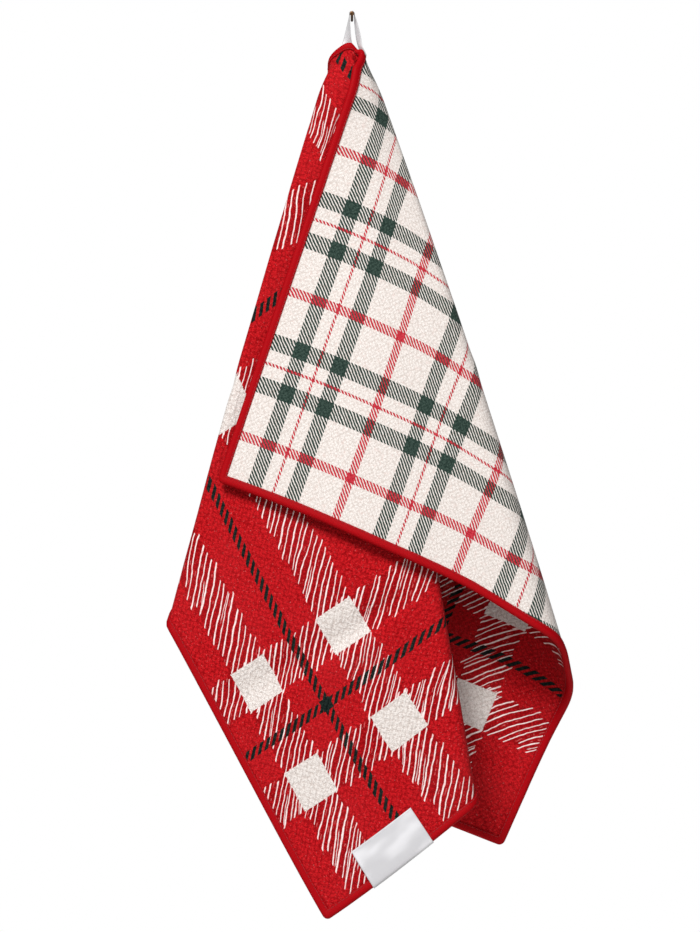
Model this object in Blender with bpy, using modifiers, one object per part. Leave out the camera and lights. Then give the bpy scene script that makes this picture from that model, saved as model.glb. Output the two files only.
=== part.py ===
"""Hand towel of thick two-faced cloth, bound on all four edges and hung by a ribbon loop from a wall nail.

The towel hangs from the middle of one long edge. Every straight line through that point stays straight
in the hanging cloth, so the whole drape is one cone with folds: the FOLDS table says where each fold of
the cone runs, and cloth_point turns any place on the flat cloth into its place in the room.
Metres, +Z up. The origin is the middle of the nail's cut end, on the wall plane; the room is at -Y.
"""

from math import atan, cos, exp, hypot, pi, radians, sin

import bmesh
import bpy
import numpy as np
from mathutils import Vector

# Flat sizes of the cloth inside its binding tape, and the tape's reach past the cloth's cut edge.
CLOTH_LONG = 0.606
CLOTH_SHORT = 0.454
CLOTH_THICK = 0.0020
TAPE_LAP = 0.0037
TAPE_EDGE = 0.0019
TAPE_THICK = 0.0009
# Half height of the tape's folded edge over that of its sides, and its room past the cloth's cut edge.
CROWN_SHARE = 0.45
EDGE_ROOM = 0.0004
# Clearance between the tape's sides and the cloth, and between any two sewn pieces.
GAP = 0.0003
# Places in the tape's outline of the two sides that lie on the cloth.
LOWER_LIP = 6
UPPER_LIP = 8

# The nail, and the point of the cloth that the loop lifts.
NAIL_RADIUS = 0.0009
NAIL_OUT = 0.0350
HEAD_RADIUS = 0.0015
HEAD_THICK = 0.0010
NAIL_SIDES = 20
HANG_POINT = Vector((0.0, -0.0300, -0.0210))

# The ribbon loop.
RIBBON_WIDE = 0.0070
RIBBON_THICK = 0.0010
RIBBON_SEWN = 0.0070
RIBBON_RISE = 0.0030
RIBBON_SEAT = 0.0004
RIBBON_WRAP = radians(220.0)
WRAP_STEPS = 6
LEG_PLACES = (-0.0060, 0.0075)
LEFT_LEG_STEPS = (0.3, 0.6)
RIGHT_LEG_STEPS = (0.4, 0.7)

# The label, folded over the lower edge.
LABEL_LONG = 0.0450
LABEL_TALL = 0.0245
LABEL_FROM_CORNER = 0.0355
LABEL_THICK = 0.0010
# How far up the label goes on lying over the tape, and the slope from there down to the cloth.
LABEL_LAP = 0.0047
LABEL_SLOPE = 0.0022
# The label's turn over the lower edge: where it starts, and its half height over that of its sides.
LABEL_TURN = 0.0012
LABEL_CROWN = 0.62
LABEL_COLUMNS = 4

# The flat cloth at the hanging point spreads as a fan, a little narrower than flat, and gathers into
# the starts of the folds at this distance. By twice this distance the folds run straight.
RISE = 0.0220
FAN_SPREAD = 0.80

# One row for each bend of the cone, from the front flap's corner round to the hidden back corner.
# across, back, down: where that line of the cloth starts, from the hanging point.
# lean: degrees from plumb, to the right. tilt: degrees from plumb, forward.
# rounding: degrees of the section taken by the bend on each side of its row.
# stretch: length along the line over its flat length. width: flat width over the width that hangs here.
# bow: sideways swell half way down the line.
FOLD_COLUMNS = ("place", "across", "back", "down", "lean", "tilt", "rounding", "stretch", "width", "bow")
FOLDS = (
    ("flap corner", 0.0050, -0.0160, -0.0140, -18.4, 3.4, 0.0, 1.018, 1.090, 0.000),
    ("flap middle", 0.0120, -0.0095, -0.0160, 0.5, 7.2, 14.0, 1.026, 1.155, 0.002),
    ("flap, right", 0.0130, -0.0045, -0.0175, 13.0, 7.0, 5.0, 1.010, 1.120, 0.003),
    ("right fold, front", 0.0135, -0.0015, -0.0180, 18.3, 6.6, 3.4, 1.045, 1.150, 0.004),
    ("right fold, back", 0.0110, 0.0030, -0.0190, 18.1, -1.9, 3.4, 0.975, 0.950, 0.002),
    ("back panel", 0.0130, 0.0060, -0.0200, 11.4, -1.8, 3.0, 0.980, 0.950, -0.008),
    ("fourth pleat, back", 0.0060, 0.0065, -0.0210, -7.2, -1.0, 1.0, 0.990, 0.980, 0.000),
    ("fourth pleat, front", 0.0050, 0.0050, -0.0220, -7.2, 0.6, 1.0, 1.000, 1.000, 0.000),
    ("third pleat, back", 0.0030, 0.0030, -0.0230, 0.3, 0.8, 0.9, 1.000, 1.000, 0.000),
    ("third pleat, front", 0.0010, 0.0000, -0.0240, 0.3, 2.2, 0.9, 1.000, 1.000, 0.000),
    ("second pleat, back", -0.0020, -0.0030, -0.0240, -8.9, 2.1, 1.0, 1.000, 1.000, 0.000),
    ("second pleat, front", -0.0040, -0.0060, -0.0230, -8.9, 3.5, 1.0, 1.000, 1.000, 0.000),
    ("first pleat, back", 0.0010, -0.0085, -0.0210, 9.7, 3.1, 1.2, 1.015, 1.040, 0.000),
    ("first pleat, front", 0.0000, -0.0100, -0.0200, 9.7, 5.2, 1.4, 1.025, 1.060, 0.000),
    ("front panel", -0.0105, -0.0080, -0.0175, 0.8, 5.2, 1.0, 1.056, 1.115, 0.000),
    ("left fold, front", -0.0150, -0.0015, -0.0145, -16.0, 4.6, 0.9, 1.018, 1.036, -0.003),
    ("left fold, back", -0.0155, -0.0005, -0.0140, -15.7, 2.8, 0.9, 1.012, 1.024, -0.003),
    ("turn behind", -0.0160, 0.0035, -0.0130, -10.5, -2.8, 2.0, 1.020, 1.040, -0.002),
    ("back corner", -0.0180, 0.0130, -0.0100, 26.0, -2.4, 0.0, 1.000, 1.000, 0.000),
)

# Where the ribbon's legs lift the top edge, where it sags between them, and where the gathers are pushed.
PULL_COLUMNS = ("place", "across", "down", "right", "up", "felt")
PULLS = (
    ("left peak", -0.0030, 0.000, 0.0000, 0.0016, 0.0060),
    ("left shoulder", -0.0180, 0.000, -0.0028, 0.0008, 0.0070),
    ("sag between the legs", 0.0035, 0.000, 0.0000, -0.0030, 0.0026),
    ("right arch", 0.0120, 0.000, 0.0010, 0.0000, 0.0060),
    ("edge of the strip", -0.0060, 0.016, 0.0030, 0.0000, 0.0060),
)

# Degrees between points of the cone's section, and the step on the flat cloth that finds a normal.
FINE_STEP = 0.25
NORMAL_STEP = 0.0008

# Sampling of the cloth: lines across each bend, the widest step between lines, and places along a line.
LINES_PER_BEND = 4
WIDEST_STEP = radians(7.5)
ALONG = (0.0, 0.06, 0.14, 0.25, 0.40, 0.60, 0.80, 1.0)
NEAR_TOP = (0.004, 0.008, 0.013, 0.019, 0.026, 0.035, 0.046)
# Share of a line given to its close first places, on the lines that start far along the top edge.
NEAR_SHARE = 0.4
TOP_EDGE = (0.002, 0.0045, 0.007, 0.010, 0.014, 0.020, 0.028, 0.040, 0.060, 0.090, 0.130, 0.180, 0.240)

COLOURS = {
    "cloth": (0.42, 0.02, 0.03, 0.92),
    "binding": (0.36, 0.005, 0.012, 0.65),
    "hanging_loop": (0.80, 0.80, 0.80, 0.45),
    "label": (0.82, 0.82, 0.82, 0.55),
    "nail": (0.10, 0.06, 0.035, 0.35),
}


def column(name):
    """One column of the fold table as an array."""
    return np.array([row[FOLD_COLUMNS.index(name)] for row in FOLDS])


def rounded_section():
    """The cone's section: points (lean, tilt) with rounded bends, and the table row that each is at."""
    corners = np.stack([column("lean"), column("tilt")], 1)
    rounding = column("rounding")
    points = [corners[0]]
    rows = [0.0]
    for i in range(1, len(corners) - 1):
        before = corners[i - 1] - corners[i]
        after = corners[i + 1] - corners[i]
        long_before, long_after = np.linalg.norm(before), np.linalg.norm(after)
        cut = min(rounding[i], 0.48 * long_before, 0.48 * long_after)
        first = corners[i] + before / long_before * cut
        last = corners[i] + after / long_after * cut
        for t in np.linspace(0.0, 1.0, 13):
            points.append((1 - t) ** 2 * first + 2 * t * (1 - t) * corners[i] + t * t * last)
            reach = cut / long_before * (2 * t - 1) if t < 0.5 else cut / long_after * (2 * t - 1)
            rows.append(i + reach)
    points.append(corners[-1])
    rows.append(len(corners) - 1.0)
    return np.array(points), np.array(rows)


def with_small_steps(points, rows):
    """The same section with a point at least every FINE_STEP degrees."""
    run = np.concatenate([[0.0], np.cumsum(np.linalg.norm(np.diff(points, axis=0), axis=1))])
    count = int(run[-1] / FINE_STEP) + 1
    at = np.unique(np.concatenate([run, np.linspace(0.0, run[-1], count)]))
    return np.stack([np.interp(at, run, p) for p in points.T], 1), np.interp(at, run, rows)


def cone():
    """Flat angle, direction and table row at each point of the section, as cloth keeps its own width."""
    points, rows = with_small_steps(*rounded_section())
    lean, tilt = np.radians(points).T
    away = np.stack([np.cos(tilt) * np.sin(lean), -np.sin(tilt), -np.cos(tilt) * np.cos(lean)], 1)
    width = np.interp(rows, np.arange(len(FOLDS)), column("width"))
    widths = np.linalg.norm(np.diff(away, axis=0), axis=1) * width[:-1]
    angle = pi / 2 - np.concatenate([[0.0], np.cumsum(widths)])
    return angle[::-1], away[::-1], rows[::-1]


def softened(values, reach=30):
    """Values with their corners eased by a bell-shaped average."""
    bell = np.hanning(2 * reach + 1)
    padded = np.pad(values, reach, mode="reflect", reflect_type="odd")
    return np.convolve(padded, bell / bell.sum(), "valid")


ANGLE, AWAY, ROW = cone()
EASED_ANGLE = np.linspace(-pi / 2, pi / 2, 629)
EASED_ROW = np.interp(EASED_ANGLE, ANGLE, ROW)
EASED_STRETCH = softened(np.interp(EASED_ROW, np.arange(len(FOLDS)), column("stretch")))
EASED_BOW = softened(np.interp(EASED_ROW, np.arange(len(FOLDS)), column("bow")))
EASED_START = [
    softened(np.interp(EASED_ROW, np.arange(len(FOLDS)), column(name))) for name in ("across", "back", "down")
]


def line_length(angle):
    """Flat length of the line at this angle, from the hanging point to the edge of the cloth."""
    down = CLOTH_SHORT / max(cos(angle), 1e-6)
    across = CLOTH_LONG / 2 / max(abs(sin(angle)), 1e-6)
    return min(down, across)


def cloth_point(across, down):
    """Where the flat cloth's point hangs: across from the hanging point, and down from the top edge."""
    away = hypot(across, down)
    angle = float(np.arctan2(across, down))
    heading = Vector([np.interp(angle, ANGLE, AWAY[:, k]) for k in range(3)])
    fan = Vector((sin(angle * FAN_SPREAD), 0.0, -cos(angle * FAN_SPREAD))) * RISE
    start = Vector([np.interp(angle, EASED_ANGLE, eased) for eased in EASED_START])
    start = fan.lerp(start, min(away / RISE, 1.0))
    stretch = np.interp(angle, EASED_ANGLE, EASED_STRETCH)
    bow = np.interp(angle, EASED_ANGLE, EASED_BOW) * sin(pi * min(away / line_length(angle), 1.0))
    # The line leaves along its start and turns evenly into its own heading.
    straight = away**2 / (4 * RISE) if away < 2 * RISE else away - RISE
    risen = (away - straight) / RISE
    place = HANG_POINT + start * risen + heading * (straight * stretch) + Vector((bow, 0.0, 0.0))
    for _, x, y, right, up, felt in PULLS:
        share = exp(-((across - x) ** 2 + (down - y) ** 2) / (2 * felt**2))
        place += Vector((right, 0.0, up)) * share
    return place


def cloth_normal(across, down):
    """Unit normal on the red face, from small steps on the flat cloth."""
    side = cloth_point(across + NORMAL_STEP, down) - cloth_point(across - NORMAL_STEP, down)
    fall = cloth_point(across, down + NORMAL_STEP) - cloth_point(across, max(down - NORMAL_STEP, 0.0))
    return fall.cross(side).normalized()


def fold_lines():
    """Flat angles of the lines that the cloth is drawn with: close at bends, wider between them."""
    half = CLOTH_LONG / 2 - TAPE_LAP
    corner = atan(half / TAPE_LAP)
    lower = atan(half / (CLOTH_SHORT - TAPE_LAP))
    marks = [-corner, -lower, lower, corner]
    marks += [side * atan(across / TAPE_LAP) for across in TOP_EDGE for side in (-1, 1)]
    rounding = column("rounding")
    corners = np.stack([column("lean"), column("tilt")], 1)
    for i in range(1, len(FOLDS) - 1):
        if rounding[i] > 10.0:
            continue
        for share in np.linspace(-1.0, 1.0, LINES_PER_BEND):
            other = i - 1 if share < 0 else i + 1
            cut = min(rounding[i] / np.linalg.norm(corners[other] - corners[i]), 0.48)
            marks.append(float(np.interp(i + share * cut, ROW[::-1], ANGLE[::-1])))
    marks = sorted(m for m in marks if abs(m) <= corner + 1e-9)
    kept = []
    fixed = (-corner, -lower, lower, corner)
    for mark in marks:
        near = kept and mark - kept[-1] < (radians(0.25) if abs(mark) < 1.4 else 0.0)
        if near and mark in fixed:
            kept[-1] = mark
        elif not near:
            kept.append(mark)
    lines = []
    for low, high in zip(kept, kept[1:]):
        count = max(1, round((high - low) / WIDEST_STEP + 0.3))
        lines += [low + (high - low) * k / count for k in range(count)]
    return lines + [kept[-1]]


def line_places(angle):
    """Flat points along one line, from the inner edge of the top tape to that of the far tape."""
    half = CLOTH_LONG / 2 - TAPE_LAP
    near = TAPE_LAP / cos(angle)
    far = min((CLOTH_SHORT - TAPE_LAP) / cos(angle), half / max(abs(sin(angle)), 1e-6))
    spread = NEAR_SHARE * (far - near) * min(1.0, near / NEAR_TOP[-1])
    begin = min(max(NEAR_TOP[-1], near + spread), far)
    share = (begin - near) / (NEAR_TOP[-1] - NEAR_TOP[0])
    reaches = [near + (reach - NEAR_TOP[0]) * share for reach in NEAR_TOP[:-1]]
    reaches += [begin + (far - begin) * t for t in ALONG]
    return [(r * sin(angle), r * cos(angle)) for r in reaches]


def outer_place(across, down):
    """The place on the cloth's cut edge beside a place on the tape's inner edge."""
    half = CLOTH_LONG / 2 - TAPE_LAP
    tiny = 1e-7
    if abs(across) > half - tiny:
        across = CLOTH_LONG / 2 if across > 0 else -CLOTH_LONG / 2
    if down > CLOTH_SHORT - TAPE_LAP - tiny:
        down = CLOTH_SHORT
    elif down < TAPE_LAP + tiny:
        down = 0.0
    return across, down


def fresh_scene():
    """An empty file, with a collection for the towel."""
    for ob in list(bpy.data.objects):
        bpy.data.objects.remove(ob, do_unlink=True)
    towel = bpy.data.collections.new("hand_towel")
    bpy.context.scene.collection.children.link(towel)
    return towel


def plain_material(name):
    """A plain material of the piece's main colour."""
    red, green, blue, rough = COLOURS[name]
    mat = bpy.data.materials.new(name)
    mat.use_nodes = True
    shader = mat.node_tree.nodes["Principled BSDF"]
    shader.inputs["Base Color"].default_value = (red, green, blue, 1.0)
    shader.inputs["Roughness"].default_value = rough
    shader.inputs["Metallic"].default_value = 1.0 if name == "nail" else 0.0
    return mat


def add_object(bm, name, collection):
    """A named object from a bmesh, with its own material."""
    bmesh.ops.recalc_face_normals(bm, faces=bm.faces)
    me = bpy.data.meshes.new(name)
    bm.to_mesh(me)
    bm.free()
    ob = bpy.data.objects.new(name, me)
    ob.data.materials.append(plain_material(name))
    collection.objects.link(ob)
    return ob


def thicken(ob, thickness):
    """Cloth, ribbon or label: half its thickness on each side of its surface."""
    solid = ob.modifiers.new("thickness", "SOLIDIFY")
    solid.thickness = thickness
    solid.offset = 0.0
    solid.use_rim = True


def cloth_surface(bm):
    """The hanging cloth as an open surface; returns the pairs (inner, outer) of vertices round its edge."""
    places = [line_places(angle) for angle in fold_lines()]
    rings = [[bm.verts.new(cloth_point(*place)) for place in line] for line in places]
    # The two end lines start and end at one corner, so they are one vertex each.
    for end in (0, -1):
        for vert in rings[end][1:]:
            bm.verts.remove(vert)
        rings[end] = [rings[end][0]] * len(places[end])
    for ring, after in zip(rings, rings[1:]):
        for k in range(len(ring) - 1):
            corners = [ring[k], ring[k + 1], after[k + 1], after[k]]
            unlike = [v for i, v in enumerate(corners) if v is not corners[i - 1]]
            if len(unlike) > 2:
                bm.faces.new(unlike)
    # Round the edge: down the left side, along the bottom, up the right side, and back along the top.
    inner = [(rings[i][-1], places[i][-1]) for i in range(len(rings))]
    inner += [(rings[i][0], places[i][0]) for i in range(len(rings) - 2, 0, -1)]
    edge = []
    for vert, place in inner:
        edge.append((vert, bm.verts.new(cloth_point(*outer_place(*place)))))
    for (near_in, near_out), (next_in, next_out) in zip(edge, edge[1:] + edge[:1]):
        bm.faces.new((near_in, next_in, next_out))
        bm.faces.new((near_in, next_out, near_out))
    return edge


def build_cloth(collection):
    """The towel's one sheet of cloth; also returns each edge pair's places and normals for the tape."""
    bm = bmesh.new()
    edge = cloth_surface(bm)
    bmesh.ops.recalc_face_normals(bm, faces=bm.faces)
    bm.normal_update()
    frames = [(a.co.copy(), a.normal.copy(), b.co.copy(), b.normal.copy()) for a, b in edge]
    ob = add_object(bm, "cloth", collection)
    thicken(ob, CLOTH_THICK)
    return frames


def tape_section(inner, inner_up, outer, outer_up):
    """The folded tape's outline over the cut edge: three sides outside, then three inside."""
    reach = outer - inner
    out = reach / min(reach.length, TAPE_LAP)
    clear = CLOTH_THICK / 2 + GAP
    full = clear + TAPE_THICK
    shoulder = TAPE_EDGE - TAPE_THICK
    crown = CROWN_SHARE * full
    return (
        inner + inner_up * full,
        outer + out * shoulder + outer_up * full,
        outer + out * TAPE_EDGE + outer_up * crown,
        outer + out * TAPE_EDGE - outer_up * crown,
        outer + out * shoulder - outer_up * full,
        inner - inner_up * full,
        inner - inner_up * clear,
        outer + out * EDGE_ROOM - outer_up * clear,
        outer + out * EDGE_ROOM + outer_up * clear,
        inner + inner_up * clear,
    )


def build_binding(collection, frames):
    """The tape folded over all four edges, lofted from section to section."""
    bm = bmesh.new()
    loops = [[bm.verts.new(point) for point in tape_section(*frame)] for frame in frames]
    for loop, after in zip(loops, loops[1:] + loops[:1]):
        for k in range(len(loop)):
            m = (k + 1) % len(loop)
            # The two faces that lie on the cloth are split along the same slant as the cloth beneath them.
            if k == LOWER_LIP:
                bm.faces.new((loop[k], loop[m], after[m]))
                bm.faces.new((loop[k], after[m], after[k]))
            elif k == UPPER_LIP:
                bm.faces.new((loop[m], loop[k], after[k]))
                bm.faces.new((loop[m], after[k], after[m]))
            else:
                bm.faces.new((loop[k], loop[m], after[m], after[k]))
    add_object(bm, "binding", collection)


def strip(rows, name, thickness, collection):
    """A strip of ribbon or tape as an open surface from rows of points, given its thickness."""
    bm = bmesh.new()
    verts = [[bm.verts.new(point) for point in row] for row in rows]
    for row, after in zip(verts, verts[1:]):
        for k in range(len(row) - 1):
            bm.faces.new((row[k], row[k + 1], after[k + 1], after[k]))
    thicken(add_object(bm, name, collection), thickness)


def label_row(across):
    """One column of the label, from its front top over the lower edge to its back top."""
    on_cloth = CLOTH_THICK / 2 + GAP + LABEL_THICK / 2
    on_tape = on_cloth + TAPE_THICK + GAP
    outside = TAPE_EDGE + GAP + LABEL_THICK / 2
    front = (
        (LABEL_TALL, on_cloth),
        (LABEL_TALL / 2, on_cloth),
        (LABEL_LAP + LABEL_SLOPE, on_cloth),
        (LABEL_LAP, on_tape),
        (-LABEL_TURN, on_tape),
        (-outside, on_tape * LABEL_CROWN),
    )
    path = front + tuple((inset, -above) for inset, above in reversed(front))
    edge = cloth_point(across, CLOTH_SHORT)
    beyond = (edge - cloth_point(across, CLOTH_SHORT - LABEL_LAP)).normalized()
    row = []
    for inset, above in path:
        down = CLOTH_SHORT - max(inset, 0.0)
        up = cloth_normal(across, min(down, CLOTH_SHORT - NORMAL_STEP))
        row.append(cloth_point(across, down) + up * above + beyond * max(-inset, 0.0))
    return row


def build_label(collection):
    """The blank label folded over the lower edge, near the front corner."""
    left = LABEL_FROM_CORNER - CLOTH_LONG / 2
    rows = [label_row(left + LABEL_LONG * k / LABEL_COLUMNS) for k in range(LABEL_COLUMNS + 1)]
    strip(rows, "label", LABEL_THICK, collection)


def leg_rows(place):
    """The sewn end of one leg of the loop, behind the top edge, from its lower end up."""
    behind = CLOTH_THICK / 2 + GAP + TAPE_THICK + 2 * GAP + RIBBON_THICK / 2
    rows = []
    for down in (RIBBON_SEWN, RIBBON_SEWN / 2, 0.0):
        row = []
        for side in (-0.5, 0.0, 0.5):
            across = place + side * RIBBON_WIDE
            normal = cloth_normal(across, max(down, 2 * NORMAL_STEP))
            row.append(cloth_point(across, down) - normal * behind)
        rows.append(row)
    lift = [high - low for low, high in zip(rows[-2], rows[-1])]
    rows.append([point + step.normalized() * RIBBON_RISE for point, step in zip(rows[-1], lift)])
    return rows


def between(low, high, shares):
    """Rows part of the way from one row to another."""
    return [[a.lerp(b, share) for a, b in zip(low, high)] for share in shares]


def build_loop(collection):
    """The ribbon loop: both legs sewn behind the top edge, turned over the nail between them."""
    turn = NAIL_RADIUS + RIBBON_SEAT + RIBBON_THICK / 2
    over = []
    for k in range(WRAP_STEPS + 1):
        swing = pi / 2 + RIBBON_WRAP * (0.5 - k / WRAP_STEPS)
        centre = Vector((turn * cos(swing), HANG_POINT.y, turn * sin(swing)))
        over.append([centre + Vector((0.0, -side * RIBBON_WIDE, 0.0)) for side in (-0.5, 0.0, 0.5)])
    left = leg_rows(LEG_PLACES[0])
    right = leg_rows(LEG_PLACES[1])[::-1]
    rows = left + between(left[-1], over[0], LEFT_LEG_STEPS) + over
    rows += between(over[-1], right[0], RIGHT_LEG_STEPS) + right
    strip(rows, "hanging_loop", RIBBON_THICK, collection)


def build_nail(collection):
    """The round nail, from the wall plane out to its head."""
    bm = bmesh.new()
    profile = (
        (0.0, 0.0),
        (NAIL_RADIUS, 0.0),
        (NAIL_RADIUS, HEAD_THICK - NAIL_OUT),
        (HEAD_RADIUS, HEAD_THICK * 0.7 - NAIL_OUT),
        (HEAD_RADIUS, HEAD_THICK * 0.2 - NAIL_OUT),
        (HEAD_RADIUS * 0.8, -NAIL_OUT),
        (0.0, -NAIL_OUT),
    )
    verts = [bm.verts.new((radius, y, 0.0)) for radius, y in profile]
    edges = [bm.edges.new(pair) for pair in zip(verts, verts[1:])]
    bmesh.ops.spin(
        bm, geom=verts + edges, axis=(0.0, 1.0, 0.0), cent=(0.0, 0.0, 0.0), steps=NAIL_SIDES, angle=2 * pi
    )
    bmesh.ops.remove_doubles(bm, verts=bm.verts, dist=0.00001)
    add_object(bm, "nail", collection)


def main():
    collection = fresh_scene()
    frames = build_cloth(collection)
    build_binding(collection, frames)
    build_label(collection)
    build_loop(collection)
    build_nail(collection)


main()
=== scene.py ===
"""Looks of the hand towel: two-faced cotton bound in crimson tape, hung by a ribbon loop from a wall nail.

Metres, +Z up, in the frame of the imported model: the origin is the middle of the nail's cut end on the wall
plane, and the room is at -Y. Places on the flat cloth are given as (across, down) from the hanging point,
the middle of the top edge, and cloth_place turns them into places in the room.
"""

from functools import partialmethod
from math import cos, pi, radians, sin

import bmesh
import bpy
import numpy as np
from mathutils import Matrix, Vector, noise


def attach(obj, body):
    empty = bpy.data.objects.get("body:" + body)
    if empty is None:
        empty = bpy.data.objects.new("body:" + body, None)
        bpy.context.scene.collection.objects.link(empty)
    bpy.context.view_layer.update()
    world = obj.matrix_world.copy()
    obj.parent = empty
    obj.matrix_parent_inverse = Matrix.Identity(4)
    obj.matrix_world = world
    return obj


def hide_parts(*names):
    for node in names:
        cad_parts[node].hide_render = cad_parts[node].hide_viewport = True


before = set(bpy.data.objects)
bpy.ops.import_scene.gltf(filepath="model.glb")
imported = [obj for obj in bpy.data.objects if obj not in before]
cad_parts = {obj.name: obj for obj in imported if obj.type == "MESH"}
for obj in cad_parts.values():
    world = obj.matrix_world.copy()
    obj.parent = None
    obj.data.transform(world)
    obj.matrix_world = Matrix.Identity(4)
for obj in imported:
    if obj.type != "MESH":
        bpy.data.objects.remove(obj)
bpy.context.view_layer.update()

# Flat sizes of the cloth inside its binding tape, as the CAD has them.
CLOTH_LONG = 0.606
CLOTH_SHORT = 0.454
CLOTH_THICK = 0.0020
TAPE_LAP = 0.0037
HANG_POINT = np.array((0.0, -0.0300, -0.0210))

# Near the hanging point the cloth spreads as a fan and gathers into the starts of its folds.
RISE = 0.0220
FAN_SPREAD = 0.80

# The drape, as the CAD has it: one row for each bend, from the front flap's corner to the hidden back corner.
# across, back, down: where that line of the cloth starts. lean, tilt, rounding: degrees. stretch: length over
# flat length. width: flat width over hanging width. bow: sideways swell half way down.
FOLD_COLUMNS = ("place", "across", "back", "down", "lean", "tilt", "rounding", "stretch", "width", "bow")
FOLDS = (
    ("flap corner", 0.0050, -0.0160, -0.0140, -18.4, 3.4, 0.0, 1.018, 1.090, 0.000),
    ("flap middle", 0.0120, -0.0095, -0.0160, 0.5, 7.2, 14.0, 1.026, 1.155, 0.002),
    ("flap, right", 0.0130, -0.0045, -0.0175, 13.0, 7.0, 5.0, 1.010, 1.120, 0.003),
    ("right fold, front", 0.0135, -0.0015, -0.0180, 18.3, 6.6, 3.4, 1.045, 1.150, 0.004),
    ("right fold, back", 0.0110, 0.0030, -0.0190, 18.1, -1.9, 3.4, 0.975, 0.950, 0.002),
    ("back panel", 0.0130, 0.0060, -0.0200, 11.4, -1.8, 3.0, 0.980, 0.950, -0.008),
    ("fourth pleat, back", 0.0060, 0.0065, -0.0210, -7.2, -1.0, 1.0, 0.990, 0.980, 0.000),
    ("fourth pleat, front", 0.0050, 0.0050, -0.0220, -7.2, 0.6, 1.0, 1.000, 1.000, 0.000),
    ("third pleat, back", 0.0030, 0.0030, -0.0230, 0.3, 0.8, 0.9, 1.000, 1.000, 0.000),
    ("third pleat, front", 0.0010, 0.0000, -0.0240, 0.3, 2.2, 0.9, 1.000, 1.000, 0.000),
    ("second pleat, back", -0.0020, -0.0030, -0.0240, -8.9, 2.1, 1.0, 1.000, 1.000, 0.000),
    ("second pleat, front", -0.0040, -0.0060, -0.0230, -8.9, 3.5, 1.0, 1.000, 1.000, 0.000),
    ("first pleat, back", 0.0010, -0.0085, -0.0210, 9.7, 3.1, 1.2, 1.015, 1.040, 0.000),
    ("first pleat, front", 0.0000, -0.0100, -0.0200, 9.7, 5.2, 1.4, 1.025, 1.060, 0.000),
    ("front panel", -0.0105, -0.0080, -0.0175, 0.8, 5.2, 1.0, 1.056, 1.115, 0.000),
    ("left fold, front", -0.0150, -0.0015, -0.0145, -16.0, 4.6, 0.9, 1.018, 1.036, -0.003),
    ("left fold, back", -0.0155, -0.0005, -0.0140, -15.7, 2.8, 0.9, 1.012, 1.024, -0.003),
    ("turn behind", -0.0160, 0.0035, -0.0130, -10.5, -2.8, 2.0, 1.020, 1.040, -0.002),
    ("back corner", -0.0180, 0.0130, -0.0100, 26.0, -2.4, 0.0, 1.000, 1.000, 0.000),
)
# Points on each rounded bend, the most of a side that it takes, and degrees between points of the section.
BEND_POINTS = 13
BEND_MOST = 0.48
FINE_STEP = 0.25
# Flat angles at which the table is eased, points in half the bell that eases it, and the step that finds a
# normal.
EASED_LINES = 629
BELL_HALF = 30
NORMAL_STEP = 0.0008

# Where the ribbon's legs lift the top edge, where it sags between them, and where the gathers are pushed:
# place, across, down, how far to the right and up it moves, and how far round it the move is felt.
PULLS = (
    ("left peak", -0.0030, 0.000, 0.0000, 0.0016, 0.0060),
    ("left shoulder", -0.0180, 0.000, -0.0028, 0.0008, 0.0070),
    ("sag between the legs", 0.0035, 0.000, 0.0000, -0.0030, 0.0026),
    ("right arch", 0.0120, 0.000, 0.0010, 0.0000, 0.0060),
    ("edge of the strip", -0.0060, 0.016, 0.0030, 0.0000, 0.0060),
)

# Soft creases of the cloth: from one flat place to another, how high each stands and how far it spreads.
CREASES = (
    ("packing fold, upper", -0.303, 0.150, 0.303, 0.150, -0.0006, 0.0050),
    ("packing fold, lower", -0.303, 0.3125, -0.150, 0.318, -0.0042, 0.0070),
    ("roll beside the lower fold", -0.303, 0.326, -0.150, 0.331, 0.0018, 0.0060),
)
# A crease fades at its ends over this share of its length, unless it runs right across the cloth.
CREASE_FADE = 0.15
FULL_CREASE = 0.5
# A slow wave with its slice of the noise, and the distances from the hanging point over which wave and
# creases set in.
WAVE_HIGH = 0.0004
WAVE_LONG = 0.060
WAVE_LAYER = 0.3
RELIEF_SETS_IN = (0.05, 0.14)

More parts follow.
